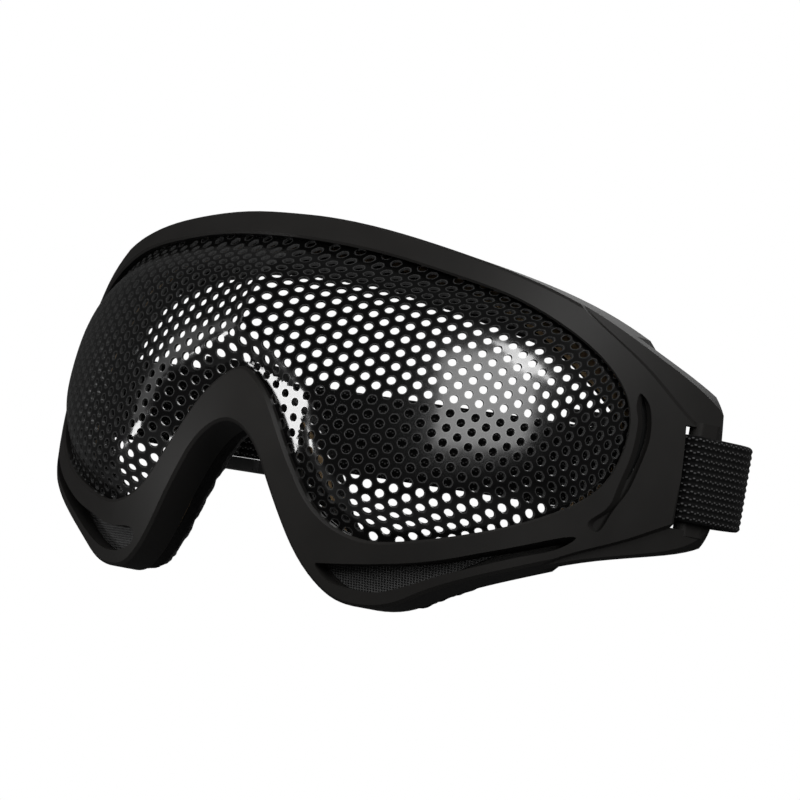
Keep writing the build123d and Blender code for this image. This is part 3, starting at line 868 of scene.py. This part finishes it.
# %% Floor and world
WHITE = (1, 1, 1, 1)
AIR_LIGHT = 0.03
FLOOR_Z = -450 * MM
FLOOR_HALF = 1500 * MM


def white_to_camera(network, surface, kind, end):
    """White where the camera looks, and the given surface for every other ray."""
    seen = network.node("ShaderNodeLightPath", "Is Camera Ray")
    white = network.node(kind, 0, {"Color": WHITE})
    shown = network.node("ShaderNodeMixShader", 0, {0: seen, 1: surface, 2: white})
    network.join(shown, network.tree.nodes[end].inputs["Surface"])


world = bpy.data.worlds.new("studio")
bpy.context.scene.world = world
world.use_nodes = True
air = Network(world.node_tree)
soft_light = air.tree.nodes["Background"]
air.join(WHITE, soft_light.inputs["Color"])
air.join(AIR_LIGHT, soft_light.inputs["Strength"])
white_to_camera(air, Value(air, soft_light.outputs[0]), "ShaderNodeBackground", "World Output")

floor_corners = [(x * FLOOR_HALF, y * FLOOR_HALF, FLOOR_Z)
                 for x, y in ((-1, -1), (1, -1), (1, 1), (-1, 1))]
floor = put_mesh("floor", floor_corners, [[0, 1, 2, 3]])
paper = Finish("paper", Roughness=0.9)
paper.feed("Base Color", paper.mix(paper.noise(200 * MM), grey(0.13), grey(0.16)))
white_to_camera(paper, Value(paper, paper.shader.outputs[0]), "ShaderNodeEmission",
                "Material Output")
floor.data.materials.append(paper.material)
print("floor at", FLOOR_Z)

# %% [markdown]
# Every light is a square soft box that faces the goggles. The key light stands to the right and
# makes the broad highlight on the near lens, and a small one low on the left lights the flat facet
# by the nose. The brow, far side and back get an edge of light. The two broad fills light the
# matt pieces but are kept out of the glossy ones, whose highlights in the photo are few and sharp.

# %% Soft boxes
AIM = Vector((10, 30, 0)) * MM
LAMPS = [
    # name, direction from the aim, distance, size in metres, watts
    ("key", (0.81, -0.40, 0.42), 0.9, 0.42, 1.6),
    ("front", (0.1, -0.9, 0.45), 1.0, 0.6, 5.5),
    ("left_fill", (-0.7, -0.6, 0.5), 1.0, 0.6, 0.8),
    ("nose", (-0.732, -0.658, -0.18), 0.9, 0.24, 1.8),
    ("brow", (0.78, -0.1, 0.66), 0.9, 0.25, 1.6),
    ("far_side", (-0.9, -0.5, 0.25), 1.0, 0.4, 0.25),
    ("behind", (-0.2, 1.0, 0.5), 1.0, 0.5, 1.0)]
FILLS = ("front", "left_fill")

for name, way, distance, size, watts in LAMPS:
    light = bpy.data.lights.new(name, "AREA")
    light.size = size
    light.energy = watts
    lamp = bpy.data.objects.new(name, light)
    lamp.location = AIM + Vector(way).normalized() * distance
    lamp.rotation_euler = (lamp.location - AIM).to_track_quat("Z", "Y").to_euler()
    lamp.visible_glossy = name not in FILLS
    bpy.context.scene.collection.objects.link(lamp)
print("lamps:", [row[0] for row in LAMPS])

# %% [markdown]
# The camera was found by fitting points of the photo to the frame's shape. It stands about 27
# degrees to the goggles' left and a little below them, turned by 10 degrees, with a long lens. Its
# right, up and back directions are the columns of its matrix.

# %% Camera
FOCAL_MM, SENSOR_MM = 213.36, 36.0
CAMERA_PLACE = Vector((520.457, -934.563, -54.981)) * MM
CAMERA_RIGHT = Vector((0.88077643, 0.44191371, 0.17013274))
CAMERA_UP = Vector((-0.12860165, -0.12255209, 0.98409481))
CAMERA_BACK = Vector((0.45573512, -0.88864687, -0.05111016))

camera = bpy.data.objects.new("camera", bpy.data.cameras.new("camera"))
camera.data.lens = FOCAL_MM
camera.data.sensor_width = SENSOR_MM
turned = Matrix((CAMERA_RIGHT, CAMERA_UP, CAMERA_BACK)).transposed().to_4x4()
camera.matrix_world = Matrix.Translation(CAMERA_PLACE) @ turned
bpy.context.scene.collection.objects.link(camera)
bpy.context.scene.camera = camera
bpy.context.scene.view_settings.view_transform = "Standard"
print("camera at", CAMERA_PLACE)
